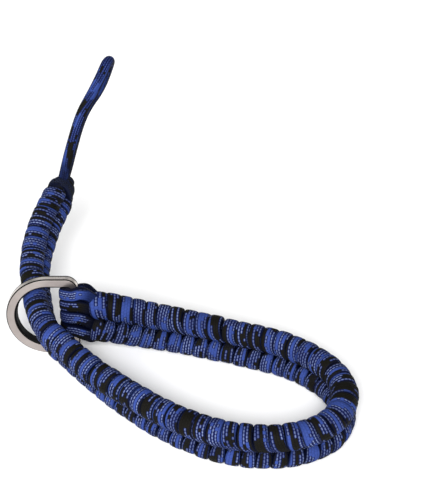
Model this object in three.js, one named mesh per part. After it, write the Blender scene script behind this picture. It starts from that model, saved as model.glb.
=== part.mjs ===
// A camera wrist strap of 4 mm paracord. A flat fishtail braid makes the wrist loop: it starts at
// an eye of cord on a D-ring's bar, goes round, and comes back through the D-ring. Past the ring
// the braid's tail rises to a wrapped end knot, and a thin loop of cord goes on from there to the
// camera's lug, from which the whole strap hangs.
//
// Millimetres, +Z up. Everything is laid out from the level that the wrist loop lies on, with that
// level at z = 0, and then moved as one so that the origin is where the lug carries the cord loop.

import * as THREE from "three";

// ---------------------------------------------------------------- driving dimensions

const CORD = 4.0; // paracord across
const GAP = 0.3; // between pieces that touch

const LUG = { x: -42.5, y: 18.5, z: 68.5 }; // inside the top of the cord loop

const RING = {
  x: -63.0, // centre of the ring's opening
  y: -63.1,
  z: 15.05,
  lean: 8, // degrees that its top leans back
  halfHeight: 14.85,
  bowCentre: 2.95, // along the ring's width, from its centre to the bow's
  bowWire: 3.5, // width of the metal in the bow
  barWire: 2.6, // and in the straight bar
  right: 13.6, // outer face of the bar
  thick: 3.2,
  chamfer: 0.5,
  outerCorner: 4.2,
  innerCorner: 1.2,
};

const EYE = {
  passes: 4,
  pitch: 4.25, // from one pass to the next, along the bar
  rise: 2.2, // from the bar's middle up to the middle of the passes
  tilt: 0.4, // each pass is this much higher for each millimetre towards its front
  clear: 2.1, // from the bar's middle to the inside of the cord
  flat: 3.4, // the cord is pressed a little flat where it turns
  legEnd: 16.1, // where the legs meet the braid, along the ring's width
};

const LOBE_POINTS = 9; // points round each of the braid's two lobes
const WAIST = 0.8; // depth of the groove between the lobes
const ROWS_PER_STATION = 4;

// The braid, from the eye round the wrist loop, through the D-ring and up to its end.
// x, y, z: the middle of the braid. lean: degrees that its upper edge leans outward.
// width, thick: its size across the two lobes, and through one.
const BRAID = [
  { x: -45.8, y: -63.3, z: 14.6, lean: 8, width: 19.0, thick: 10.4 },
  { x: -42.0, y: -63.3, z: 14.3, lean: 8, width: 19.0, thick: 10.0 },
  { x: -35.6, y: -62.8, z: 12.5, lean: 9, width: 18.6, thick: 9.6 },
  { x: -25.0, y: -62.6, z: 9.8, lean: 11, width: 17.8, thick: 9.4 },
  { x: -10.5, y: -65.4, z: 8.6, lean: 12, width: 17.0, thick: 9.2 },
  { x: 6.0, y: -70.5, z: 8.3, lean: 12, width: 16.6, thick: 9.2 },
  { x: 20.0, y: -75.9, z: 8.3, lean: 10, width: 16.6, thick: 9.2 },
  { x: 31.0, y: -83.0, z: 8.3, lean: 8, width: 16.6, thick: 9.2 },
  { x: 38.6, y: -91.8, z: 8.3, lean: 5, width: 16.6, thick: 9.2 },
  { x: 41.2, y: -102.0, z: 8.3, lean: 3, width: 16.6, thick: 9.2 },
  { x: 37.6, y: -113.0, z: 8.3, lean: 2, width: 16.6, thick: 9.2 },
  { x: 28.0, y: -120.4, z: 8.3, lean: 2, width: 16.6, thick: 9.2 },
  { x: 15.0, y: -122.8, z: 8.3, lean: 3, width: 16.6, thick: 9.2 },
  { x: 0.0, y: -120.2, z: 8.3, lean: 4, width: 16.6, thick: 9.2 },
  { x: -16.0, y: -111.8, z: 8.3, lean: 6, width: 16.6, thick: 9.2 },
  { x: -30.0, y: -100.4, z: 8.4, lean: 12, width: 16.4, thick: 9.2 },
  { x: -42.1, y: -89.2, z: 9.1, lean: 21, width: 16.2, thick: 9.2 },
  { x: -51.4, y: -80.0, z: 11.2, lean: 24, width: 16.0, thick: 9.2 },
  { x: -59.1, y: -71.9, z: 13.4, lean: 19, width: 15.4, thick: 8.8 },
  { x: -63.2, y: -62.4, z: 14.9, lean: 17, width: 15.0, thick: 8.6 },
  { x: -65.0, y: -54.0, z: 17.0, lean: 17, width: 15.0, thick: 8.6 },
  { x: -66.4, y: -46.0, z: 19.6, lean: 15, width: 15.0, thick: 8.6 },
  { x: -66.2, y: -38.5, z: 22.4, lean: 14, width: 14.8, thick: 8.6 },
  { x: -65.0, y: -30.5, z: 25.7, lean: 14, width: 14.6, thick: 8.5 },
  { x: -62.8, y: -22.5, z: 29.1, lean: 14, width: 14.4, thick: 8.5 },
  { x: -60.4, y: -14.5, z: 32.6, lean: 14, width: 14.2, thick: 8.5 },
];

// The end knot, on from the braid's end, as it closes down to the two cords that come out of it.
// along: distance from the braid's end.
const KNOT = [
  { along: 0.0, lean: 14, width: 14.2, thick: 8.8 },
  { along: 1.6, lean: 11, width: 14.8, thick: 9.6 },
  { along: 3.6, lean: 4, width: 14.2, thick: 9.6 },
  { along: 5.6, lean: -3, width: 12.6, thick: 8.6 },
  { along: 7.4, lean: -10, width: 10.8, thick: 6.8 },
  { along: 8.6, lean: -14, width: 9.4, thick: 5.2 },
];

// The cord loop's middle line, up from the knot, over the lug and back down beside itself.
const TETHER = [
  { x: -57.4, y: -6.8, z: 39.0 },
  { x: -56.9, y: -5.2, z: 40.7 },
  { x: -56.0, y: -2.5, z: 43.6 },
  { x: -54.9, y: 0.4, z: 46.7 },
  { x: -53.7, y: 3.4, z: 49.9 },
  { x: -52.4, y: 6.1, z: 53.0 },
  { x: -50.9, y: 8.0, z: 56.0 },
  { x: -48.9, y: 9.1, z: 59.4 },
  { x: -46.6, y: 10.4, z: 63.3 },
  { x: -44.2, y: 13.2, z: 67.3 },
  { x: -42.3, y: 17.4, z: 70.0 },
  { x: -41.5, y: 22.0, z: 68.5 },
  { x: -42.8, y: 23.2, z: 63.9 },
  { x: -44.6, y: 21.0, z: 60.0 },
  { x: -46.6, y: 18.1, z: 57.3 },
  { x: -48.9, y: 15.3, z: 55.0 },
  { x: -51.0, y: 12.6, z: 52.4 },
  { x: -52.6, y: 9.7, z: 49.7 },
  { x: -53.9, y: 6.6, z: 46.8 },
  { x: -55.0, y: 3.6, z: 43.7 },
  { x: -56.1, y: 0.5, z: 40.5 },
  { x: -57.1, y: -2.4, z: 37.4 },
  { x: -58.0, y: -4.8, z: 35.0 },
];

// ---------------------------------------------------------------- materials

const braidBlue = new THREE.MeshStandardMaterial({ color: 0x2c3d86, roughness: 0.85, metalness: 0 });
const cordBlue = new THREE.MeshStandardMaterial({ color: 0x3548a0, roughness: 0.85, metalness: 0 });
const cordBlack = new THREE.MeshStandardMaterial({ color: 0x1b1c22, roughness: 0.85, metalness: 0 });
const nickel = new THREE.MeshStandardMaterial({ color: 0xa8a09c, roughness: 0.3, metalness: 1 });

// ---------------------------------------------------------------- helpers

const UP = new THREE.Vector3(0, 0, 1);
const radians = THREE.MathUtils.degToRad;
const vectorOf = (p) => new THREE.Vector3(p.x, p.y, p.z);

function named(name, geometry, material) {
  const mesh = new THREE.Mesh(geometry, material);
  mesh.name = name;
  return mesh;
}

// A closed solid through rings of points, each ring with as many points as the next and running
// clockwise as seen from the end of the solid.
function loft(rings) {
  const size = rings[0].length;
  const points = rings.flat();
  const faces = [];
  for (let i = 0; i + 1 < rings.length; i++) {
    for (let j = 0; j < size; j++) {
      const a = i * size + j;
      const b = i * size + ((j + 1) % size);
      faces.push(a, b + size, b, a, a + size, b + size);
    }
  }
  for (const [ring, side] of [[rings[0], -1], [rings[rings.length - 1], 1]]) {
    const middle = points.length;
    const first = side < 0 ? 0 : (rings.length - 1) * size;
    points.push(ring.reduce((sum, p) => sum.add(p), new THREE.Vector3()).divideScalar(size));
    for (let j = 0; j < size; j++) {
      const a = first + j;
      const b = first + ((j + 1) % size);
      if (side < 0) faces.push(middle, a, b);
      else faces.push(middle, b, a);
    }
  }
  const geometry = new THREE.BufferGeometry().setFromPoints(points);
  geometry.setIndex(faces);
  geometry.computeVertexNormals();
  return geometry;
}

// A section with two round lobes, in its own plane: x across both lobes, y through one.
function lobedSection(width, thick) {
  const radius = thick / 2;
  const offset = width / 2 - radius;
  const section = [];
  for (const side of [1, -1]) {
    for (let i = 0; i < LOBE_POINTS; i++) {
      const angle = -Math.PI / 2 + (Math.PI * i) / (LOBE_POINTS - 1);
      section.push({
        across: side * (offset + radius * Math.cos(angle)),
        through: side * radius * Math.sin(angle),
      });
    }
    section.push({ across: 0, through: side * (radius - WAIST) });
  }
  return section;
}

// The braid's two directions at a point: across its width, towards the upper edge, and out of the
// face that is outside on the wrist loop.
function directions(tangent, leanDegrees) {
  const upright = UP.clone().addScaledVector(tangent, -UP.dot(tangent)).normalize();
  const outward = upright.clone().cross(tangent);
  const lean = radians(leanDegrees);
  const width = upright.multiplyScalar(Math.cos(lean)).addScaledVector(outward, Math.sin(lean));
  return { width, face: width.clone().cross(tangent) };
}

function ringOf(middle, tangent, { lean, width, thick }) {
  const to = directions(tangent, lean);
  return lobedSection(width, thick).map((s) =>
    middle.clone().addScaledVector(to.width, s.across).addScaledVector(to.face, s.through),
  );
}

function mixed(a, b, share) {
  const out = {};
  for (const key of Object.keys(a)) out[key] = THREE.MathUtils.lerp(a[key], b[key], share);
  return out;
}

function roundSection(diameter, sides) {
  return new THREE.Shape(
    Array.from({ length: sides }, (_, i) => {
      const angle = (2 * Math.PI * i) / sides;
      return new THREE.Vector2(Math.cos(angle), Math.sin(angle)).multiplyScalar(diameter / 2);
    }),
  );
}

function tube(points, diameter, sides, steps) {
  return new THREE.ExtrudeGeometry(roundSection(diameter, sides), {
    steps,
    extrudePath: new THREE.CatmullRomCurve3(points),
  });
}

// ---------------------------------------------------------------- braid and end knot

const route = new THREE.CatmullRomCurve3(BRAID.map(vectorOf));

function makeBraid() {
  const last = (BRAID.length - 1) * ROWS_PER_STATION;
  const rings = [];
  for (let i = 0; i <= last; i++) {
    const station = Math.min(Math.floor(i / ROWS_PER_STATION), BRAID.length - 2);
    const row = mixed(BRAID[station], BRAID[station + 1], i / ROWS_PER_STATION - station);
    rings.push(ringOf(route.getPoint(i / last), route.getTangent(i / last), row));
  }
  return named("braided_strap", loft(rings), braidBlue);
}

function makeEndKnot() {
  const end = BRAID[BRAID.length - 1];
  const axis = route.getTangent(1);
  const rings = KNOT.map((row) =>
    ringOf(vectorOf(end).addScaledVector(axis, GAP + row.along), axis, row),
  );
  return named("end_knot", loft(rings), cordBlack);
}

// ---------------------------------------------------------------- D-ring

// A D outline: a round bow on the left, straight legs, and a straight side on the right.
function dOutline(path, radius, right, corner) {
  path.moveTo(right - corner, radius);
  path.lineTo(RING.bowCentre, radius);
  path.absarc(RING.bowCentre, 0, radius, Math.PI / 2, (3 * Math.PI) / 2, false);
  path.lineTo(right - corner, -radius);
  path.absarc(right - corner, -radius + corner, corner, -Math.PI / 2, 0, false);
  path.lineTo(right, radius - corner);
  path.absarc(right - corner, radius - corner, corner, 0, Math.PI / 2, false);
  return path;
}

function makeRing() {
  const c = RING.chamfer;
  const outer = dOutline(
    new THREE.Shape(), RING.halfHeight - c, RING.right - c, RING.outerCorner,
  );
  outer.holes.push(dOutline(
    new THREE.Path(),
    RING.halfHeight - RING.bowWire + c,
    RING.right - RING.barWire + c,
    RING.innerCorner,
  ));
  const geometry = new THREE.ExtrudeGeometry(outer, {
    depth: RING.thick - 2 * c,
    bevelThickness: c,
    bevelSize: c,
    bevelSegments: 1,
    curveSegments: 20,
  });
  geometry.translate(0, 0, -RING.thick / 2 + c);
  return named("d_ring", geometry, nickel);
}

// ---------------------------------------------------------------- eye on the ring's bar

function makeEyePass(index) {
  const bar = RING.right - RING.barWire / 2;
  const radius = EYE.clear + EYE.flat / 2;
  const height = EYE.rise + (index - (EYE.passes - 1) / 2) * EYE.pitch;
  const leg = (EYE.legEnd - bar) / 2;
  const at = (x, z) => new THREE.Vector3(bar + x, height + EYE.tilt * z, z);
  const points = [2, 1].map((n) => at(n * leg, radius));
  const turns = 6;
  for (let i = 0; i <= turns; i++) {
    const angle = Math.PI / 2 + (Math.PI * i) / turns;
    points.push(at(radius * Math.cos(angle), radius * Math.sin(angle)));
  }
  points.push(...[1, 2].map((n) => at(n * leg, -radius)));
  const colour = index % 2 ? cordBlue : cordBlack;
  return named(`eye_pass_${index + 1}`, tube(points, EYE.flat, 10, 20), colour);
}

function makeRingWithEye() {
  const group = new THREE.Group();
  group.add(makeRing());
  for (let i = 0; i < EYE.passes; i++) group.add(makeEyePass(i));
  group.position.set(RING.x, RING.y, RING.z);
  group.rotation.x = radians(90 - RING.lean);
  return group;
}

// ---------------------------------------------------------------- cord loop to the camera

function makeTether() {
  return named("tether_loop", tube(TETHER.map(vectorOf), CORD, 10, 44), cordBlue);
}

// ---------------------------------------------------------------- the whole strap

const strap = new THREE.Group();
strap.add(makeBraid(), makeEndKnot(), makeRingWithEye(), makeTether());
strap.position.set(-LUG.x, -LUG.y, -LUG.z);

const part = new THREE.Group();
part.add(strap);
export default part;
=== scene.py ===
"""The looks of a camera wrist strap: a flat fishtail braid of blue and black cord on a D-ring.

All shapes are laid out in millimetres, from the level that the wrist loop lies on, and are moved
to the row frame, in metres, when their meshes are made.
"""

import math

import bpy
import numpy as np
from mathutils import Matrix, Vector


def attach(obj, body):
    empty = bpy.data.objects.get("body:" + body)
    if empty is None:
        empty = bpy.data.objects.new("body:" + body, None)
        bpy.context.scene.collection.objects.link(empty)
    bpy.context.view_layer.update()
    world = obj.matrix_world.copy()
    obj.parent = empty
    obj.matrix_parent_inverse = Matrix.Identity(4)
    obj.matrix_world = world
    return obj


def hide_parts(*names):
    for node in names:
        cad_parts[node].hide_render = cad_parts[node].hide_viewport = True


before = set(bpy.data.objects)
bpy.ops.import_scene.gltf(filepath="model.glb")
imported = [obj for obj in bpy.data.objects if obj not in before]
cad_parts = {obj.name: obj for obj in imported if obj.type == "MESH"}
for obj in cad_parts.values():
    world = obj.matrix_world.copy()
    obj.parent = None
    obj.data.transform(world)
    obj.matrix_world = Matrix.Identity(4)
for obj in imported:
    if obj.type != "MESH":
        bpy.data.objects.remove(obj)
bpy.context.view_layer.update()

# ---------------------------------------------------------------- sizes, as in the CAD source

CORD = 4.0  # diameter of the round cord
LUG = np.array([-42.5, 18.5, 68.5])  # the row frame's origin

# The D-ring, from its centre, in its own axes: x along its width, y up its height.
RING = dict(
    centre=(-63.0, -63.1, 15.05),
    lean=8,  # degrees that its top leans back
    half_height=14.85,
    bow_centre=2.95,  # x of the middle of its round side, the bow
    bow_wire=3.5,
    bar_wire=2.6,
    right=13.6,  # x of the bar's outer side
    thick=3.2,
    outer_corner=4.2,
    inner_corner=1.2,
)

EYE = dict(
    passes=4,
    pitch=4.25,  # from one pass to the next
    rise=2.2,  # of their middle, above the ring's
    tilt=0.4,  # how much higher a pass is in front, for each millimetre of depth
    clear=2.1,  # from the bar's middle to the cord
    flat=3.4,  # thickness of the flattened cord
)

# x, y, z of the braid's middle, degrees that its upper edge leans outward, its width across the
# two lobes, and its thickness through one.
BRAID = np.array([
    (-45.8, -63.3, 14.6, 8, 19.0, 10.4),
    (-42.0, -63.3, 14.3, 8, 19.0, 10.0),
    (-35.6, -62.8, 12.5, 9, 18.6, 9.6),
    (-25.0, -62.6, 9.8, 11, 17.8, 9.4),
    (-10.5, -65.4, 8.6, 12, 17.0, 9.2),
    (6.0, -70.5, 8.3, 12, 16.6, 9.2),
    (20.0, -75.9, 8.3, 10, 16.6, 9.2),
    (31.0, -83.0, 8.3, 8, 16.6, 9.2),
    (38.6, -91.8, 8.3, 5, 16.6, 9.2),
    (41.2, -102.0, 8.3, 3, 16.6, 9.2),
    (37.6, -113.0, 8.3, 2, 16.6, 9.2),
    (28.0, -120.4, 8.3, 2, 16.6, 9.2),
    (15.0, -122.8, 8.3, 3, 16.6, 9.2),
    (0.0, -120.2, 8.3, 4, 16.6, 9.2),
    (-16.0, -111.8, 8.3, 6, 16.6, 9.2),
    (-30.0, -100.4, 8.4, 12, 16.4, 9.2),
    (-42.1, -89.2, 9.1, 21, 16.2, 9.2),
    (-51.4, -80.0, 11.2, 24, 16.0, 9.2),
    (-59.1, -71.9, 13.4, 19, 15.4, 8.8),
    (-63.2, -62.4, 14.9, 17, 15.0, 8.6),
    (-65.0, -54.0, 17.0, 17, 15.0, 8.6),
    (-66.4, -46.0, 19.6, 15, 15.0, 8.6),
    (-66.2, -38.5, 22.4, 14, 14.8, 8.6),
    (-65.0, -30.5, 25.7, 14, 14.6, 8.5),
    (-62.8, -22.5, 29.1, 14, 14.4, 8.5),
    (-60.4, -14.5, 32.6, 14, 14.2, 8.5),
])

# The tether cord's middle line, up from the knot, over the lug and back down beside itself.
TETHER = np.array([
    (-57.4, -6.8, 39.0),
    (-56.9, -5.2, 40.7),
    (-56.0, -2.5, 43.6),
    (-54.9, 0.4, 46.7),
    (-53.7, 3.4, 49.9),
    (-52.4, 6.1, 53.0),
    (-50.9, 8.0, 56.0),
    (-48.9, 9.1, 59.4),
    (-46.6, 10.4, 63.3),
    (-44.2, 13.2, 67.3),
    (-42.3, 17.4, 70.0),
    (-41.5, 22.0, 68.5),
    (-42.8, 23.2, 63.9),
    (-44.6, 21.0, 60.0),
    (-46.6, 18.1, 57.3),
    (-48.9, 15.3, 55.0),
    (-51.0, 12.6, 52.4),
    (-52.6, 9.7, 49.7),
    (-53.9, 6.6, 46.8),
    (-55.0, 3.6, 43.7),
    (-56.1, 0.5, 40.5),
    (-57.1, -2.4, 37.4),
    (-58.0, -4.8, 35.0),
])

# ---------------------------------------------------------------- how the braid is woven

# Distance along the braid from the eye, and pitch from one wrap of a lobe to the next there.
PITCH = np.array([(0, 4.9), (95, 4.9), (165, 4.8), (215, 4.8), (240, 4.7), (300, 4.5)])
PITCH_BEYOND = 4.8  # the same before the braid's start and past its end

WRAP_DEEP = 3.1  # thickness of a wrap of the flattened cord
WRAP_WIDE = 1.03  # its width, in pitches
CROSS_DEEP = 2.7  # the same where the cord is squeezed between the two cores
CROSS_WIDE = 0.48
CROSS_SPREAD = 0.056  # how far from there the squeeze reaches, as a share of a turn

# The figure of eight that a cord goes through, seen along the braid, before it is fitted to the
# braid's width and thickness.
LOBE_CENTRE = 3.7
LOBE_RADIUS = 3.05

FIRST_WRAP = 0.35  # from the braid's start to the first wrap, in pitches, before EYE_CROWD
LAST_WRAP = 0.6  # how far past the braid's end the weave may go on, in pitches
# How far along the braid the cord is, in pitches, where it comes to the upper lobe on the outer
# face, leaves it on the inner face, comes to the lower lobe on the outer face and leaves it.
TIPS = (-0.75, 0.55, 0.62, 1.2)
UPPER_CURL = 3.5  # the wraps of the upper lobe are straight, and bend only near those places
ROUNDING = dict(spread=22.0, margin=60)  # of the cord's advance, in steps of 1/2000 of a turn

# Beside the eye the wraps are closer together. Up to place they are moved on by move, and from
# there by less and less, down to nothing over reach. All are in pitches.
EYE_CROWD = dict(place=-0.45, reach=1.6, move=0.4)
KNOT_DRAW = dict(aside=1.5, reach=14.0, power=1.5)  # the knot draws the braid's last reach aside

# How uneven the wraps are: along the braid in pitches, in lift in millimetres, and in width as a
# share of it.
UNEVEN = dict(along=0.035, lift=0.09, wide=0.02)
HALF_WRAP = 2.2  # the bend of the braid is measured this far before and behind a wrap
WRAP_STEP = 0.72  # from one ring of a working cord's points to the next
STATIONS_PER_TURN = 360

# The two cores: their section, how far from the braid's ends they start and stop, and their step.
CORE = dict(wide=3.3, deep=3.1, first=0.6, short=0.5, step=1.2)

# ---------------------------------------------------------------- how the sheath looks

SHEATH = dict(rows=14, stitch=0.85)  # rows of stitches round the cord, and length of a stitch
STRAND = dict(wide=0.37, long=0.95)  # size of a stitch's pale strand, as shares of the stitch

# How the blue and black patches spread round the cord and along it, the noise above which a stitch
# is blue and below which it is black, how ragged their edges are, and how far the mesh's blue value
# moves the noise.
PATCH = dict(round=1.1, long=11.0, blue_above=0.575, black_below=0.445, ragged=0.04, sway=0.4)

# Scales of noise in the sheath: some millimetres across, and as fine as the yarn.
CLOUD = 130.0
FUZZ = 2600.0
# The same in the ring's metal.
METAL_CLOUD = 90.0
METAL_GRAIN = 1500.0

# The side of a cord has painted shade from this share of its half width on, growing over this share
# of it.
SIDE_SHADE = dict(place=0.72, reach=0.24, power=1.3)

# Distance along the braid, and how blue the working cords are there.
BLUE_ALONG = np.array([(1, 0.25), (7, 0.5), (200, 0.5), (240, 0.56)])

# ---------------------------------------------------------------- curves


def spline(points, t):
    """The centripetal Catmull-Rom curve through points, at t from 0 to 1 over its stations."""
    points = np.asarray(points, float)
    last = len(points) - 1
    place = np.clip(np.asarray(t, float), 0, 1) * last
    i = np.minimum(place.astype(int), last - 1)
    weight = (place - i)[:, None]
    padded = np.vstack([2 * points[0] - points[1], points, 2 * points[-1] - points[-2]])
    p0, p1, p2, p3 = (padded[i + k] for k in range(4))

    def root_gap(a, b):
        """The square root of the distance from a to b."""
        return np.sum((b - a) ** 2, axis=1)[:, None] ** 0.25

    # the tangents at p1 and p2
    d0, d1, d2 = root_gap(p0, p1), root_gap(p1, p2), root_gap(p2, p3)
    t1 = ((p1 - p0) / d0 - (p2 - p0) / (d0 + d1) + (p2 - p1) / d1) * d1
    t2 = ((p2 - p1) / d1 - (p3 - p1) / (d1 + d2) + (p3 - p2) / d2) * d1
    c2 = -3 * p1 + 3 * p2 - 2 * t1 - t2
    c3 = 2 * p1 - 2 * p2 + t1 + t2
    return p1 + t1 * weight + c2 * weight**2 + c3 * weight**3


def unit(v):
    """Vectors scaled to a length of 1."""
    return v / np.linalg.norm(v, axis=-1, keepdims=True)


def at_distance(s, along, column):
    """A column of three numbers that go with the distances along, read at distances s."""
    return np.stack([np.interp(s, along, column[:, k]) for k in range(3)], axis=1)


def lengths(path):
    """Distance along a path to each of its points."""
    return np.concatenate([[0], np.cumsum(np.linalg.norm(np.diff(path, axis=0), axis=1))])


def resampled(path, step, *columns):
    """The path at even steps, with any other columns of numbers that go with its points."""
    along = lengths(path)
    count = max(2, int(round(along[-1] / step)) + 1)
    at = np.linspace(0, along[-1], count)
    even = at_distance(at, along, path)
    if not columns:
        return even
    return [even] + [np.interp(at, along, column) for column in columns]


class Route:
    """The braid's middle line, with its directions and sizes at any distance along it."""

    def __init__(self, table):
        t = np.linspace(0, 1, 3001)
        self.points = spline(table[:, :3], t)
        self.along = lengths(self.points)
        self.length = self.along[-1]
        self.tangent = unit(np.gradient(self.points, axis=0))
        upright = unit(np.array([0, 0, 1.0]) - self.tangent * self.tangent[:, 2:3])
        outward = np.cross(upright, self.tangent)
        row = t * (len(table) - 1)
        lean, self.width, self.thick = (
            np.interp(row, np.arange(len(table)), table[:, k]) for k in (3, 4, 5)
        )
        lean = np.radians(lean)[:, None]
        self.up = upright * np.cos(lean) + outward * np.sin(lean)
        self.face = np.cross(self.up, self.tangent)
        phase = np.cumsum(np.gradient(self.along) / np.interp(self.along, *PITCH.T))
        self.phase = phase - phase[0]

    def size(self, s, column):
        """The braid's width or thickness at distances s."""
        return np.interp(s, self.along, column)

    def way(self, s, column):
        """One of the braid's directions at distances s."""
        return unit(at_distance(s, self.along, column))

    def middle(self, s):
        """The middle line's points at distances s, carried on straight past the ends."""
        inside = np.clip(s, 0, self.length)
        past = (s - inside)[:, None]
        return at_distance(inside, self.along, self.points) + self.way(s, self.tangent) * past

    def place(self, s, across, out):
        """Points at distances s, moved across the braid's width and out of its face."""
        return (
            self.middle(s)
            + self.way(s, self.up) * across[:, None]
            + self.way(s, self.face) * out[:, None]
        )


route = Route(BRAID)

# ---------------------------------------------------------------- meshes


def in_row_frame(points):
    """Points in millimetres, moved to the row frame, in metres."""
    return (points - LUG) * 0.001


def add_mesh(name, verts, faces, uvs, material, **values):
    """A smooth mesh from points in millimetres, with a UV for each corner and, for each further
    argument, a value for each point."""
    mesh = bpy.data.meshes.new(name)
    mesh.from_pydata(in_row_frame(verts).tolist(), [], faces)
    if uvs is not None:
        layer = mesh.uv_layers.new(name="along_round")
        layer.data.foreach_set("uv", np.asarray(uvs, float).ravel())
    for key, value in values.items():
        mesh.attributes.new(key, "FLOAT", "POINT").data.foreach_set("value", value)
    mesh.polygons.foreach_set("use_smooth", [True] * len(mesh.polygons))
    mesh.materials.append(material)
    obj = bpy.data.objects.new(name, mesh)
    bpy.context.collection.objects.link(obj)
    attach(obj, "root")
    return obj


def section(sides, power, flat):
    """A rounded section of unit half sizes: its points, and the share of the way round to each when
    it is flat times as wide as it is deep."""
    angle = np.linspace(0, 2 * np.pi, sides, endpoint=False)
    c, s = np.cos(angle), np.sin(angle)
    x = np.sign(c) * np.abs(c) ** (2 / power)
    y = np.sign(s) * np.abs(s) ** (2 / power)
    ring = np.stack([flat * x, y, 0 * x], axis=1)
    along = lengths(np.vstack([ring, ring[:1]]))
    return x, y, along / along[-1]


class Tubes:
    """Collects closed tubes of cord into one mesh. Each of its points has two values from 0 to 1:
    one is painted shade, which grows towards the side of its cord and near a crossing or other
    shaded place, and blue is how much of the cord there is blue."""

    def __init__(self, sides, power=3.4, flat=1.6):
        self.sides = sides
        self.x, self.y, self.round = section(sides, power, flat)
        self.verts, self.faces, self.uvs, self.groove, self.blue = [], [], [], [], []
        self.count = 0

    def add(self, path, across, wide, deep, twist=0.0, start=0.0, local_shade=0.0, blue=0.5):
        """A tube of cord along path. across is the direction of its wide axis at each point, and
        the painted shade that it has at each point, from 0 to 1, is given as well, such as how near
        it is to a crossing. twist turns its pattern round it, as a share of the way round, and
        start moves the pattern along it, so that no two tubes look the same."""
        n = len(path)
        self.add_points(path, across, wide, deep)
        self.add_values(n, local_shade, blue)
        self.add_wall(lengths(path) + start, np.broadcast_to(twist, n))
        self.add_caps(lengths(path) + start, np.broadcast_to(twist, n))
        self.count += n * self.sides + 2

    def add_points(self, path, across, wide, deep):
        """A ring of points round each point of the path, and the middles of the two ends."""
        n = len(path)
        tangent = unit(np.gradient(path, axis=0))
        across = unit(across - tangent * np.sum(across * tangent, axis=1, keepdims=True))
        other = np.cross(tangent, across)
        wide = np.broadcast_to(wide, n)[:, None, None] / 2
        deep = np.broadcast_to(deep, n)[:, None, None] / 2
        rings = (
            path[:, None, :]
            + across[:, None, :] * self.x[None, :, None] * wide
            + other[:, None, :] * self.y[None, :, None] * deep
        )
        self.verts += [rings.reshape(-1, 3), path[:1], path[-1:]]

    def add_values(self, n, local_shade, blue):
        """The two values of each point of n rings, and of the middles of the two ends."""
        # painted shade: darker towards the sides of the cord, and darker still where more shade is
        # given
        beyond = (np.abs(self.x) - SIDE_SHADE["place"]) / SIDE_SHADE["reach"]
        beside = np.clip(beyond, 0, 1) ** SIDE_SHADE["power"]
        local_shade = np.broadcast_to(local_shade, n)[:, None]
        self.groove += [(1 - (1 - beside) * (1 - local_shade)).ravel(), [0.0, 0.0]]
        self.blue += [np.repeat(np.broadcast_to(blue, n), self.sides), [0.5, 0.5]]

    def add_wall(self, u, v):
        """The four-sided faces between one ring and the next, with their UVs."""
        sides = self.sides
        i, j = np.meshgrid(np.arange(len(u) - 1), np.arange(sides), indexing="ij")
        k = (j + 1) % sides
        quads = np.stack(
            [i * sides + j, i * sides + k, (i + 1) * sides + k, (i + 1) * sides + j], axis=-1
        )
        self.faces += (quads.reshape(-1, 4) + self.count).tolist()
        a, b = v[i] + self.round[j], v[i] + self.round[j + 1]
        c, d = v[i + 1] + self.round[j + 1], v[i + 1] + self.round[j]
        corners = np.stack([u[i], a, u[i], b, u[i + 1], c, u[i + 1], d], axis=-1)
        self.uvs.append(corners.reshape(-1, 2))

    def add_caps(self, u, v):
        """A fan of triangles over each end."""
        n, sides = len(u), self.sides
        for tip, ring, order in ((n * sides, 0, -1), (n * sides + 1, n - 1, 1)):
            for j in range(sides):
                edge = [ring * sides + j, ring * sides + (j + 1) % sides]
                self.faces.append([self.count + tip] + [self.count + e for e in edge[::order]])
                self.uvs.append(np.array([[u[ring], v[ring]]] * 3))

    def build(self, name, material):
        """The object of all the tubes so far."""
        return add_mesh(
            name, np.vstack(self.verts), self.faces, np.vstack(self.uvs), material,
            groove=np.concatenate(self.groove), blue=np.concatenate(self.blue),
        )


# ---------------------------------------------------------------- materials


class Nodes:
    """Short ways to write a material's nodes."""

    def __init__(self, name):
        self.material = bpy.data.materials.new(name)
        self.material.use_nodes = True
        self.tree = self.material.node_tree
        self.shader = self.tree.nodes["Principled BSDF"]

    def new(self, kind, **settings):
        node = self.tree.nodes.new(kind)
        for key, value in settings.items():
            setattr(node, key, value)
        return node

    def link(self, value, socket):
        """Links another node's output to a socket, or sets the socket to a plain value."""
        if isinstance(value, bpy.types.NodeSocket):
            self.tree.links.new(value, socket)
        else:
            socket.default_value = value

    def place(self):
        return self.new("ShaderNodeTexCoord").outputs["Object"]

    def attribute(self, name):
        return self.new("ShaderNodeAttribute", attribute_name=name).outputs["Fac"]

    def math(self, operation, *values):
        node = self.new("ShaderNodeMath", operation=operation)
        for value, socket in zip(values, node.inputs):
            self.link(value, socket)
        return node.outputs[0]

    def squared(self, value, size):
        """The square of value over size."""
        value = self.math("DIVIDE", value, size)
        return self.math("MULTIPLY", value, value)

    def remap(self, value, low, high, to_low, to_high):
        """A value from low and high to to_low and to_high, and no further."""
        node = self.new("ShaderNodeMapRange")
        for v, socket in zip((value, low, high, to_low, to_high), node.inputs):
            self.link(v, socket)
        return node.outputs[0]

    def noise(self, vector, scale, detail):
        node = self.new("ShaderNodeTexNoise")
        self.link(vector, node.inputs["Vector"])
        node.inputs["Scale"].default_value = scale
        node.inputs["Detail"].default_value = detail
        node.inputs["Roughness"].default_value = 0.5
        return node.outputs[0]

    def colour(self, red, green, blue):
        node = self.new("ShaderNodeCombineColor")
        for value, socket in zip((red, green, blue), node.inputs):
            self.link(value, socket)
        return node.outputs[0]

    def mix(self, share, a, b, blend="MIX"):
        node = self.new("ShaderNodeMix", data_type="RGBA", blend_type=blend)
        self.link(share, node.inputs["Factor"])
        for value, socket in ((a, node.inputs[6]), (b, node.inputs[7])):
            self.link(value, socket)
        return node.outputs[2]

    def bump(self, height, strength, distance):
        """Relief on the surface, with its distance in metres."""
        node = self.new("ShaderNodeBump")
        node.inputs["Strength"].default_value = strength
        node.inputs["Distance"].default_value = distance
        self.link(height, node.inputs["Height"])
        self.link(node.outputs[0], self.shader.inputs["Normal"])


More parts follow.
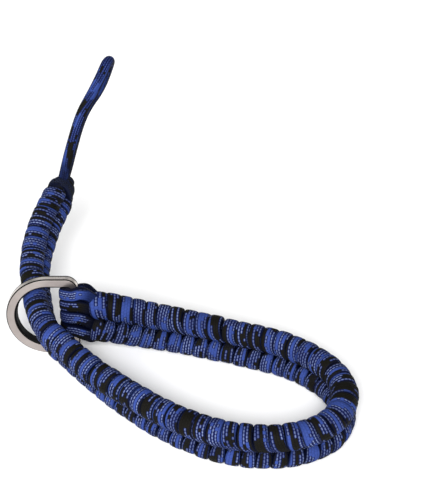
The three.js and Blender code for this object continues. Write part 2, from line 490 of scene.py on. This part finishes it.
def srgb(code):
    """A linear colour from a six-digit code."""
    out = []
    for k in (0, 2, 4):
        c = int(code[k : k + 2], 16) / 255
        out.append(c / 12.92 if c <= 0.04045 else ((c + 0.055) / 1.055) ** 2.4)
    return (*out, 1.0)


def stitches(n):
    """Rows of stitches along a cord, each half a stitch on from the row beside it. Gives the place
    in the stitch across the row and lengthwise, both from -1 to 1, the number of its row, and how
    many stitches along the cord it is."""
    parts = n.new("ShaderNodeSeparateXYZ")
    n.link(n.new("ShaderNodeUVMap", uv_map="along_round").outputs[0], parts.inputs[0])
    along, turn = parts.outputs[0], parts.outputs[1]
    place = n.math("MULTIPLY", turn, SHEATH["rows"])
    row = n.math("FLOOR", place)
    across = n.math("MULTIPLY_ADD", n.math("SUBTRACT", place, row), 2.0, -1.0)
    odd = n.math("MULTIPLY", n.math("FLOORED_MODULO", row, 2.0), 0.5)
    place = n.math("ADD", n.math("DIVIDE", along, SHEATH["stitch"]), odd)
    number = n.math("FLOOR", place)
    lengthwise = n.math("MULTIPLY_ADD", n.math("SUBTRACT", place, number), 2.0, -1.0)
    return across, lengthwise, row, n.math("SUBTRACT", number, odd)


def patches(n, row, number):
    """Whether a stitch is in a blue patch, and whether it is in a black one."""
    turn = n.math("MULTIPLY", n.math("ADD", row, 0.5), 2 * math.pi / SHEATH["rows"])
    spot = n.new("ShaderNodeCombineXYZ")
    n.link(n.math("MULTIPLY", n.math("COSINE", turn), PATCH["round"]), spot.inputs[0])
    n.link(n.math("MULTIPLY", n.math("SINE", turn), PATCH["round"]), spot.inputs[1])
    n.link(n.math("MULTIPLY", number, SHEATH["stitch"] / PATCH["long"]), spot.inputs[2])
    patch = n.noise(spot.outputs[0], 1.0, 1.5)
    sway, ragged = PATCH["sway"], PATCH["ragged"]
    patch = n.math("ADD", patch, n.math("MULTIPLY_ADD", n.attribute("blue"), sway, -sway / 2))
    edge = n.noise(spot.outputs[0], 9.0, 0.0)
    patch = n.math("ADD", patch, n.remap(edge, 0.2, 0.8, -ragged, ragged))
    is_blue = n.math("GREATER_THAN", patch, PATCH["blue_above"])
    is_black = n.math("LESS_THAN", patch, PATCH["black_below"])
    return is_blue, is_black


def pillow(n, across, lengthwise):
    """The height of a stitch, which is a little pillow, and how much of the thin pale strand along
    its middle is there, both from 0 to 1."""
    height = n.math("POWER", n.math("SUBTRACT", 1.0, n.squared(across, 1.0)), 0.5)
    height = n.math("MULTIPLY", height, n.math("SUBTRACT", 1.0, n.squared(lengthwise, 1.3)))
    from_middle = n.math(
        "ADD", n.squared(across, STRAND["wide"]), n.squared(lengthwise, STRAND["long"])
    )
    return height, n.remap(from_middle, 0.4, 1.2, 1.0, 0.0)


def cord_material(name, blue, mid, pale, navy, black):
    """Woven cord: rows of stitches along it. It is solid blue in some patches and solid black in
    others, and between those it has pale stitches on navy."""
    n = Nodes(name)
    where = n.place()
    cloud = n.noise(where, CLOUD, 3.0)
    fuzz = n.noise(where, FUZZ, 2.0)
    across, lengthwise, row, number = stitches(n)
    is_blue, is_black = patches(n, row, number)
    height, strand = pillow(n, across, lengthwise)

    strand = n.math("MULTIPLY", strand, n.remap(cloud, 0.35, 0.65, 0.4, 1.0))
    colour = n.mix(n.remap(height, 0.4, 0.7, 0.0, 1.0), navy, mid)
    colour = n.mix(strand, colour, pale)
    colour = n.mix(is_blue, colour, blue)
    colour = n.mix(is_black, colour, black)

    # painted shade between the stitches, at the sides of the cords and near crossings, and tone
    # that is a little uneven at random
    shade = n.remap(height, 0.0, 0.75, 0.62, 1.0)
    shade = n.math("MULTIPLY", shade, n.remap(cloud, 0.3, 0.7, 0.84, 1.1))
    shade = n.math("MULTIPLY", shade, n.remap(fuzz, 0.25, 0.75, 0.86, 1.12))
    colour = n.mix(1.0, colour, n.colour(shade, shade, shade), blend="MULTIPLY")
    colour = n.mix(n.attribute("groove"), colour, DEEP)
    n.link(colour, n.shader.inputs["Base Color"])

    n.link(n.remap(fuzz, 0.3, 0.7, 0.6, 0.75), n.shader.inputs["Roughness"])
    n.shader.inputs["Specular IOR Level"].default_value = 0.06
    n.bump(n.math("ADD", height, n.math("MULTIPLY", fuzz, 0.25)), 0.8, 0.00015)
    return n.material


def metal_material(name, code, roughness, metallic=1.0, specular=0.5):
    """Satin metal of a colour, a little cloudy and grainy."""
    n = Nodes(name)
    where = n.place()
    cloud = n.noise(where, METAL_CLOUD, 3.0)
    grain = n.noise(where, METAL_GRAIN, 3.0)
    tone = n.remap(cloud, 0.32, 0.68, 0.78, 1.06)
    colour = n.colour(*(n.math("MULTIPLY", tone, channel) for channel in srgb(code)[:3]))
    n.link(colour, n.shader.inputs["Base Color"])
    n.shader.inputs["Metallic"].default_value = metallic
    n.shader.inputs["Specular IOR Level"].default_value = specular
    uneven = n.remap(grain, 0.3, 0.7, roughness - 0.04, roughness + 0.04)
    n.link(uneven, n.shader.inputs["Roughness"])
    n.bump(grain, 0.06, 0.00002)
    return n.material


def floor_material():
    n = Nodes("pale_floor")
    n.shader.inputs["Base Color"].default_value = (0.96, 0.96, 0.96, 1)
    n.shader.inputs["Roughness"].default_value = 0.9
    n.shader.inputs["Specular IOR Level"].default_value = 0.1
    return n.material


BLACK = srgb("100f0b")
NAVY = srgb("080f34")
DEEP = srgb("03071d")  # the colour of the painted shade, at the sides of the cords, near crossings and in other shaded places

sheath = cord_material("woven_cord", srgb("2f4180"), srgb("1b265a"), srgb("6a7693"), NAVY, BLACK)
# a darker copy of the cord, painted shade, for the cores and the end knot
shaded_sheath = cord_material(
    "woven_cord_shaded", srgb("151a30"), srgb("11141f"), srgb("2c3350"), srgb("0a0c18"), BLACK
)
fine_sheath = cord_material(
    "woven_cord_fine", srgb("2c3e7c"), srgb("18224e"), srgb("37477f"), NAVY, BLACK
)
# satin metal, a lighter copy that is a painted highlight on the outer wall, and a near black copy
# that is no metal, painted shade and dark reflection on the inner wall and edges
nickel = metal_material("satin_nickel", "aaa19d", 0.36)
nickel_highlight_paint = metal_material("nickel_highlight_paint", "d2cac4", 0.3)
nickel_shade_paint = metal_material("nickel_shade_paint", "0c0b0b", 0.45, metallic=0.0, specular=0.12)

# ---------------------------------------------------------------- camera

# Its place and what it looks at, in the row frame, in metres.
CAMERA_PLACE = (0.0425, -0.5039, 0.2842)
CAMERA_TARGET = (0.0425, -0.0185, -0.0685)


def look_at(obj, target):
    """Turns a camera or a light to a target."""
    obj.rotation_euler = (Vector(target) - obj.location).to_track_quat("-Z", "Y").to_euler()


def make_camera():
    data = bpy.data.cameras.new("camera")
    data.lens = 113.7
    data.sensor_width = 36.0
    data.clip_start = 0.01
    camera = bpy.data.objects.new("camera", data)
    bpy.context.collection.objects.link(camera)
    camera.location = CAMERA_PLACE
    look_at(camera, CAMERA_TARGET)
    bpy.context.scene.camera = camera


make_camera()

# ---------------------------------------------------------------- the tether cord

TETHER_INSIDE = dict(first=4.5, last=1.5)  # how far its two ends go on into the knot
# The cord has the knot's painted shade at its darkest for this far from its first end and from its
# last, and the shade then fades out over reach.
TETHER_SHADE = dict(first=5.0, last=2.5, reach=3.0, dark=0.75)
TETHER_ACROSS = np.array([-0.93, 0.22, 0.28])  # roughly square to the cord all along it
TETHER_STEP = 0.55  # from one ring of its points to the next


def make_tether():
    curve = spline(TETHER, np.linspace(0, 1, 1200))
    first = curve[0] + TETHER_INSIDE["first"] * unit(curve[0] - curve[1])
    last = curve[-1] + TETHER_INSIDE["last"] * unit(curve[-1] - curve[-2])
    path = resampled(np.vstack([first, curve, last]), TETHER_STEP)
    along = lengths(path)
    shade = TETHER_SHADE
    # painted shade of the knot near both ends of the cord
    out = np.minimum(along - shade["first"], along[-1] - shade["last"] - along)
    knot_shade = shade["dark"] * np.clip(1 - out / shade["reach"], 0, 1)
    twist = 0.12 * np.sin(along / 11.0)
    tubes = Tubes(24, power=2.0, flat=1.0)  # a round section
    across = np.tile(unit(TETHER_ACROSS), (len(path), 1))
    tubes.add(path, across, CORD, CORD, twist, local_shade=knot_shade)
    cord = tubes.build("tether_cord", fine_sheath)
    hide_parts("tether_loop")


make_tether()

# ---------------------------------------------------------------- the braid


def figure_eight():
    """One turn of a working cord round the two cores: place across and out at shares of the turn.
    It starts in the middle of the braid, goes out over the upper lobe's outer face, round its edge
    and back on the inner face, through the middle, and round the lower lobe in the same way. The
    last value is the share of a turn from the middle of the braid to a lobe."""
    centre, radius = LOBE_CENTRE, LOBE_RADIUS
    reach = math.sqrt(centre**2 - radius**2)
    touch = math.pi - math.acos(radius / centre)
    turn = np.linspace(touch, -touch, 200)
    lobe = np.stack([centre + radius * np.cos(turn), radius * np.sin(turn)], axis=1)
    start = np.linspace(0, 1, 24)[:-1, None] * lobe[0]
    end = np.linspace(1, 0, 24)[1:, None] * lobe[-1]
    upper = np.vstack([start, lobe, end])
    lower = upper * [-1, 1]
    both = np.vstack([upper, lower[1:]])
    along = np.concatenate([[0], np.cumsum(np.hypot(*np.diff(both, axis=0).T))])
    share = along / along[-1]
    tip = reach / along[-1]
    return share, both[:, 0] / (centre + radius), both[:, 1] / radius, tip


SHARE, ACROSS, OUT, TIP = figure_eight()


def advance(share):
    """How far along the braid, in pitches, the cord is at each share of a turn. A whole turn moves
    it on by two."""
    start, inner, outer, end = TIPS
    lobe = 0.25 - TIP
    x = np.linspace(0, 1, 2001)
    upper = np.clip((x - 0.25) / lobe, -1, 1)
    lower = np.clip((x - 0.75) / lobe, -1, 1)
    halfway = (end + 2 + start) / 2  # in the middle of the braid, at the turn's end
    value = np.select(
        [x < TIP, x <= 0.5 - TIP, x < 0.5 + TIP, x <= 1 - TIP],
        [
            np.interp(x, (0, TIP), (halfway - 2, start)),
            np.where(upper < 0, start, inner) * np.abs(upper) ** UPPER_CURL,
            np.interp(x, (0.5 - TIP, 0.5 + TIP), (inner, outer)),
            (outer + end) / 2 + (end - outer) / 2 * lower,
        ],
        np.interp(x, (1 - TIP, 1), (end, halfway)),
    )

    # the corners between those stretches are rounded
    margin = ROUNDING["margin"]
    kernel = np.exp(-((np.arange(-margin, margin + 1) / ROUNDING["spread"]) ** 2))
    loop = (value - 2 * x)[:-1]
    wrapped = np.concatenate([loop[-margin:], loop, loop[:margin]])
    smooth = np.convolve(wrapped, kernel / kernel.sum(), "valid")
    return np.interp(np.mod(share, 1), x[:-1], smooth, period=1) + 2 * share


def woven_distance(turn, shift, uneven):
    """Distance along the braid at each turn of a cord, also past the braid's ends."""
    phase = advance(turn) + shift + FIRST_WRAP + uneven
    near_eye = np.clip(1 - (phase - EYE_CROWD["place"]) / EYE_CROWD["reach"], 0, 1)
    phase += EYE_CROWD["move"] * near_eye
    beyond = phase - np.clip(phase, 0, route.phase[-1])
    return np.interp(phase, route.phase, route.along) + beyond * PITCH_BEYOND


def woven_place(turn, s, lift):
    """Place across and out of the braid at each turn of a cord."""
    share = np.mod(turn, 1)
    reach = route.size(s, route.width) / 2 - WRAP_DEEP / 2
    radius = route.size(s, route.thick) / 2 - WRAP_DEEP / 2
    across = np.interp(share, SHARE, ACROSS) * (reach + lift)
    near_knot = np.clip((s - route.length) / KNOT_DRAW["reach"] + 1, 0, 1)
    across -= KNOT_DRAW["aside"] * near_knot ** KNOT_DRAW["power"]
    return across, np.interp(share, SHARE, OUT) * (radius + lift)


def woven_size(turn, s, across, out, uneven):
    """Width and thickness of a cord at each turn, and how squeezed it is, which is 1 at a crossing.
    A wrap is wider on the outside of a bend of the braid, and narrower on the inside."""
    near, far = (route.place(s + step, across, out) for step in (-HALF_WRAP, HALF_WRAP))
    pitch = np.interp(s, *PITCH.T) * np.linalg.norm(far - near, axis=1) / (2 * HALF_WRAP)
    gap = np.abs(np.mod(turn * 2 + 0.5, 1) - 0.5) / 2  # share of a turn to the nearest crossing
    squeeze = np.exp(-((gap / CROSS_SPREAD) ** 2))
    wide = pitch * (WRAP_WIDE * (1 + uneven) * (1 - squeeze) + CROSS_WIDE * squeeze)
    deep = WRAP_DEEP * (1 - squeeze) + CROSS_DEEP * squeeze
    return wide, deep, squeeze


def slow_twist(along, seed):
    """How far the sheath is turned round its cord, as a share of the way round: it goes slowly on,
    and wanders to and fro."""
    wander = 0.3 * np.sin(along / 61 + seed) + 0.1 * np.sin(along / 23.7 + 2 * seed)
    return wander + along / 470


def make_working_cord(name, shift, first, seed):
    """One of the two cords that are woven round the cores. shift is how far it is ahead of the
    other, in pitches; first is the turn that it starts at, which may be half a turn."""
    last = math.floor(route.phase[-1] - FIRST_WRAP - shift + LAST_WRAP) / 2  # in half turns
    turn = np.linspace(first, last, int((last - first) * STATIONS_PER_TURN))
    on_lobe = np.sin(np.pi * np.mod(turn * 2, 1)) ** 2
    # each wrap of a lobe has its own row of random numbers; some rows and a column are to spare
    half = np.floor(turn * 2).astype(int) + 4
    jitter = np.random.RandomState(seed).normal(size=(len(set(half)) + 12, 4))[half]

    s = woven_distance(turn, shift, UNEVEN["along"] * jitter[:, 0] * on_lobe)
    across, out = woven_place(turn, s, UNEVEN["lift"] * jitter[:, 1] * on_lobe)
    wide, deep, squeeze = woven_size(turn, s, across, out, UNEVEN["wide"] * jitter[:, 2])
    path = route.place(s, across, out)
    path, s, wide, deep, squeeze = resampled(path, WRAP_STEP, s, wide, deep, squeeze)
    tubes = Tubes(20)
    # the cord is given painted shade where it is squeezed at a crossing
    tubes.add(
        path, route.way(s, route.tangent), wide, deep, slow_twist(lengths(path), seed),
        start=37.0 * seed, local_shade=0.85 * squeeze, blue=np.interp(s, *BLUE_ALONG.T),
    )
    cord = tubes.build(name, sheath)
    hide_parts("braided_strap")


make_working_cord("braid_cord_a", 0.0, 0.0, 3)
make_working_cord("braid_cord_b", 1.0, -0.5, 8)


def make_cores():
    tubes = Tubes(12)
    s = np.arange(CORE["first"], route.length - CORE["short"], CORE["step"])
    width, thick = route.size(s, route.width), route.size(s, route.thick)
    for side in (1, -1):
        path = route.place(s, side * (width - thick) / 2, np.zeros(len(s)))
        tubes.add(path, route.way(s, route.up), CORE["wide"], CORE["deep"], start=40.0 * side)
    cores = tubes.build("braid_cores", shaded_sheath)
    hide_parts("braided_strap")


make_cores()

# ---------------------------------------------------------------- the end knot

# For each turn of the knot, from the braid on: distance along, place across, width, thickness, and
# how much it leans along the knot.
KNOT_TURNS = (
    (1.4, -1.6, 12.4, 9.4, 0.5),
    (4.4, -2.1, 9.8, 8.6, 0.4),
    (7.2, -2.1, 6.4, 6.8, 0.25),
)
KNOT_CORD = dict(wide=3.0, deep=2.9)
KNOT_LEAN = 0.4  # radians from a turn's edge to the place where it leans furthest

# The knot's heart: its ends, and its width, thickness and place across at distances along.
HEART_ENDS = (0.4, 8.9)
HEART_WIDE = np.array([(0, 11.0), (4, 9.0), (6, 7.0), (8.3, 5.2)])
HEART_THICK = np.array([(0, 6.4), (4, 6.4), (6, 6.0), (8.3, 4.6)])
HEART_SHIFT = np.array([(0, -0.4), (4, -1.8), (8.3, -1.4)])


def make_knot_turns():
    end, along, up, face = route.points[-1], route.tangent[-1], route.up[-1], route.face[-1]
    tubes = Tubes(20)
    angle = np.linspace(0, 2 * np.pi, 73)
    for i, (at, shift, wide, thick, lean) in enumerate(KNOT_TURNS):
        across = wide / 2 - KNOT_CORD["deep"] / 2
        out = thick / 2 - KNOT_CORD["deep"] / 2
        path = (
            end
            + np.outer(shift + np.cos(angle) * across, up)
            + np.outer(np.sin(angle) * out, face)
            + np.outer(at + np.cos(angle + KNOT_LEAN) * across * lean, along)
        )
        axis = np.tile(along, (len(path), 1))
        tubes.add(path, axis, KNOT_CORD["wide"], KNOT_CORD["deep"], 0.3 * i, start=9.0 * i)
    knot = tubes.build("end_knot_wraps", shaded_sheath)
    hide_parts("end_knot")


def make_knot_heart():
    tubes = Tubes(24)
    at = np.linspace(*HEART_ENDS, 24)
    shift, wide, thick = (np.interp(at, *t.T) for t in (HEART_SHIFT, HEART_WIDE, HEART_THICK))
    line = route.points[-1] + np.outer(at, route.tangent[-1]) + np.outer(shift, route.up[-1])
    tubes.add(line, np.tile(route.up[-1], (len(at), 1)), wide, thick)
    heart = tubes.build("end_knot_heart", shaded_sheath)
    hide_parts("end_knot")


make_knot_turns()
make_knot_heart()

# ---------------------------------------------------------------- the D-ring

LEAN = math.radians(RING["lean"])
RING_X = np.array([1.0, 0, 0])
RING_Y = np.array([0, math.sin(LEAN), math.cos(LEAN)])
RING_Z = np.array([0, -math.cos(LEAN), math.sin(LEAN)])

# The section's outer and inner chamfers, where the CAD has one plain chamfer, how far the inner
# wall's back edge stands into the opening, and the width of a strip of painted shade at the outer
# wall's back.
RING_EDGES = dict(outer=0.36, inner=0.65, flare=0.3, strip=0.7)

SATIN, SHADE_PAINT, HIGHLIGHT_PAINT = range(3)  # the ring's materials: satin metal, painted shade and painted highlight


def on_ring(x, y, z):
    """Points from the ring's own axes: along its width, up its height and out of its front."""
    x, y, z = np.broadcast_arrays(x, y, z)
    return (
        np.array(RING["centre"])
        + x[..., None] * RING_X + y[..., None] * RING_Y + z[..., None] * RING_Z
    )


def d_outline(radius, right, corner):
    """A D outline: top leg, corner, bar, corner, bottom leg and bow, with the same points each."""
    left = RING["bow_centre"]

    def arc(cx, cy, r, start, end, count):
        angle = np.radians(np.linspace(start, end, count))
        return np.stack([cx + r * np.cos(angle), cy + r * np.sin(angle)], axis=1)

    def leg(a, b, count):
        return np.linspace(a, b, count + 2)[1:-1]

    return np.vstack([
        leg((left, radius), (right - corner, radius), 5),
        arc(right - corner, radius - corner, corner, 90, 0, 11),
        leg((right, radius - corner), (right, -radius + corner), 7),
        arc(right - corner, -radius + corner, corner, 0, -90, 11),
        leg((right - corner, -radius), (left, -radius), 5),
        arc(left, 0, radius, -90, -270, 73),
    ])


def ring_section(wide):
    """Points round the ring's section: distance from the inner outline, place out of the ring's
    middle plane toward the front, and the material of the side that follows, which paints shade on
    the inner wall, the chamfers and a strip at the back of the outer wall, and a highlight on the
    rest of the outer wall."""
    half, outer, inner = RING["thick"] / 2, RING_EDGES["outer"], RING_EDGES["inner"]
    none = 0 * wide
    return (
        (none, half - inner, SHADE_PAINT),  # the inner wall
        (none - RING_EDGES["flare"], -half, SATIN),  # the back
        (wide - outer, -half, SHADE_PAINT),
        (wide, outer - half, SHADE_PAINT),
        (wide, outer - half + RING_EDGES["strip"], HIGHLIGHT_PAINT),  # the outer wall
        (wide, half - outer, SHADE_PAINT),
        (wide - outer, half, SATIN),  # the front
        (none + inner, half, SHADE_PAINT),
    )


def soften_edges(ring, sides):
    """Small bevels on the edges that run round the D."""
    for e in ring.data.edges:
        a, b = e.vertices
        e.use_edge_sharp = a % sides == b % sides
    bevel = ring.modifiers.new("edges", "BEVEL")
    bevel.width = 0.00008  # metres
    bevel.segments = 2
    bevel.limit_method = "ANGLE"
    bevel.angle_limit = math.radians(25)


def make_ring():
    r = RING
    outer = d_outline(r["half_height"], r["right"], r["outer_corner"])
    inner = d_outline(
        r["half_height"] - r["bow_wire"], r["right"] - r["bar_wire"], r["inner_corner"]
    )
    reach = outer - inner
    wide = np.linalg.norm(reach, axis=1)[:, None]
    way = reach / wide
    columns, materials = [], []
    for place, depth, material in ring_section(wide):
        flat = inner + way * place
        columns.append(on_ring(flat[:, 0], flat[:, 1], np.full(len(flat), depth)))
        materials.append(material)
    rings = np.stack(columns, axis=1)
    n, sides = rings.shape[:2]
    i, j = np.meshgrid(np.arange(n), np.arange(sides), indexing="ij")
    i2, j2 = (i + 1) % n, (j + 1) % sides
    faces = np.stack([i * sides + j, i * sides + j2, i2 * sides + j2, i2 * sides + j], axis=-1)
    faces = faces.reshape(-1, 4).tolist()
    ring = add_mesh("d_ring_metal", rings.reshape(-1, 3), faces, None, nickel)
    ring.data.materials.append(nickel_shade_paint)
    ring.data.materials.append(nickel_highlight_paint)
    ring.data.polygons.foreach_set("material_index", np.array(materials)[j].ravel())
    soften_edges(ring, sides)
    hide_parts("d_ring")


make_ring()

# ---------------------------------------------------------------- the eye

# From the lowest pass up: the height at which it goes into the braid, how far it is lifted on its
# way there in front, how far it sinks in front of the bar, and how blue it is.
EYE_PASSES = (
    (-7.6, -0.9, 1.6, 0.3),
    (-3.4, -0.1, 0.4, 0.62),
    (2.8, 0, 0, 0.25),
    (6.4, 1.2, 0, 0.72),
)
# Along the two legs of a pass, from the bar to the braid: distance from the bar, share of the way
# to the height where it goes in, how much nearer the legs are to the ring's plane, and share of
# the lift.
EYE_LEG = ((2.0, 0.05, 0.0, 0.7), (3.8, 0.3, 0.5, 1), (5.4, 0.8, 1.9, 0.8), (7.0, 1, 3.2, 0))

BAR_X = RING["right"] - RING["bar_wire"] / 2  # the bar's middle, in the ring's axes
EYE_RADIUS = EYE["clear"] + EYE["flat"] / 2  # from there to the middle of the eye's cord

# Distance from the bar at which a pass starts to change, over which reach, and how much.
EYE_ENTRY = dict(place=2.0, reach=2.5, dark=0.7)  # painted shade on its way into the braid
EYE_BLACK = dict(place=2.6, reach=2.2, blue=-0.1)  # a pass that isn't lifted is painted black there, as shade
EYE_BEND = dict(reach=0.45, dark=0.6)  # painted shade where a pass turns round the bar


def eye_stations(height, inside, lift, sink):
    """Stations of a pass in the ring's axes: from the braid along the front, round the bar, and
    back along the rear."""
    bar, radius = BAR_X, EYE_RADIUS
    angle = np.linspace(np.pi / 2, 3 * np.pi / 2, 9)
    turn = np.stack([bar + radius * np.cos(angle), 0 * angle, radius * np.sin(angle)], axis=1)
    turn[:, 1] = height + EYE["tilt"] * turn[:, 2] - sink * np.clip(turn[:, 2] / radius, 0, 1)
    legs = []
    for way in (1, -1):
        start = height + way * EYE["tilt"] * radius - (sink if way > 0 else 0)
        legs.append([
            (bar + x, start + (inside - start) * share + rise * lift, way * (radius - closer))
            for x, share, closer, rise in EYE_LEG
        ])
    return np.vstack([legs[0][::-1], turn, legs[1]])


def make_eye():
    for i, (inside, lift, sink, blue) in enumerate(EYE_PASSES):
        height = (i - (EYE["passes"] - 1) / 2) * EYE["pitch"] + EYE["rise"]
        stations = eye_stations(height, inside, lift, sink)
        path = resampled(spline(stations, np.linspace(0, 1, 600)), 0.5)
        from_bar = path[:, 0] - BAR_X
        # painted shade at the bend round the bar and on the way into the braid, and black painted
        # as shade near the braid on a pass that isn't lifted
        bend = np.exp(-(((from_bar + EYE_RADIUS) / EYE_BEND["reach"]) ** 2))
        entry = np.clip((from_bar - EYE_ENTRY["place"]) / EYE_ENTRY["reach"], 0, 1)
        dark = np.maximum(EYE_BEND["dark"] * bend, EYE_ENTRY["dark"] * entry)
        far = np.clip((from_bar - EYE_BLACK["place"]) / EYE_BLACK["reach"], 0, 1) * (lift <= 0)
        tubes = Tubes(28)
        tubes.add(
            on_ring(*path.T), np.tile(RING_Y, (len(path), 1)), EYE["pitch"], EYE["flat"],
            0.37 * i, start=11.0 * i, local_shade=dark, blue=blue * (1 - far) + EYE_BLACK["blue"] * far,
        )
        eye = tubes.build(f"eye_cord_{i + 1}", sheath)
        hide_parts(f"eye_pass_{i + 1}")


make_eye()

# ---------------------------------------------------------------- floor and lights


def make_floor():
    half, level = 3000.0, -0.3  # just under the level that the wrist loop lies on
    corners = np.array([
        (-half, -half, level), (half, -half, level), (half, half, level), (-half, half, level),
    ])
    mesh = bpy.data.meshes.new("floor")
    mesh.from_pydata(((corners - [0, 0, LUG[2]]) * 0.001).tolist(), [], [(0, 1, 2, 3)])
    mesh.materials.append(floor_material())
    floor = bpy.data.objects.new("floor", mesh)
    bpy.context.collection.objects.link(floor)


def make_light(name, place, target, size, power):
    """A rectangular lamp, with its place, target and size in metres."""
    data = bpy.data.lights.new(name, "AREA")
    data.shape = "RECTANGLE"
    data.size, data.size_y = size
    data.energy = power
    light = bpy.data.objects.new(name, data)
    bpy.context.collection.objects.link(light)
    light.location = place
    look_at(light, target)


def make_lights():
    middle = (0.03, -0.09, -0.05)
    make_light("key", (0.0, -1.75, 1.25), middle, (1.0, 0.9), 70.0)
    make_light("fill", (-0.9, -0.3, 0.35), middle, (0.7, 0.5), 5.0)
    make_light("back", (0.1, 1.0, 0.4), middle, (1.2, 0.5), 1.2)


def make_world():
    world = bpy.data.worlds.new("studio")
    world.use_nodes = True
    background = world.node_tree.nodes["Background"]
    background.inputs["Color"].default_value = (1, 1, 1, 1)
    background.inputs["Strength"].default_value = 0.3
    bpy.context.scene.world = world


make_floor()
make_lights()
make_world()
bpy.context.scene.view_settings.view_transform = "Standard"
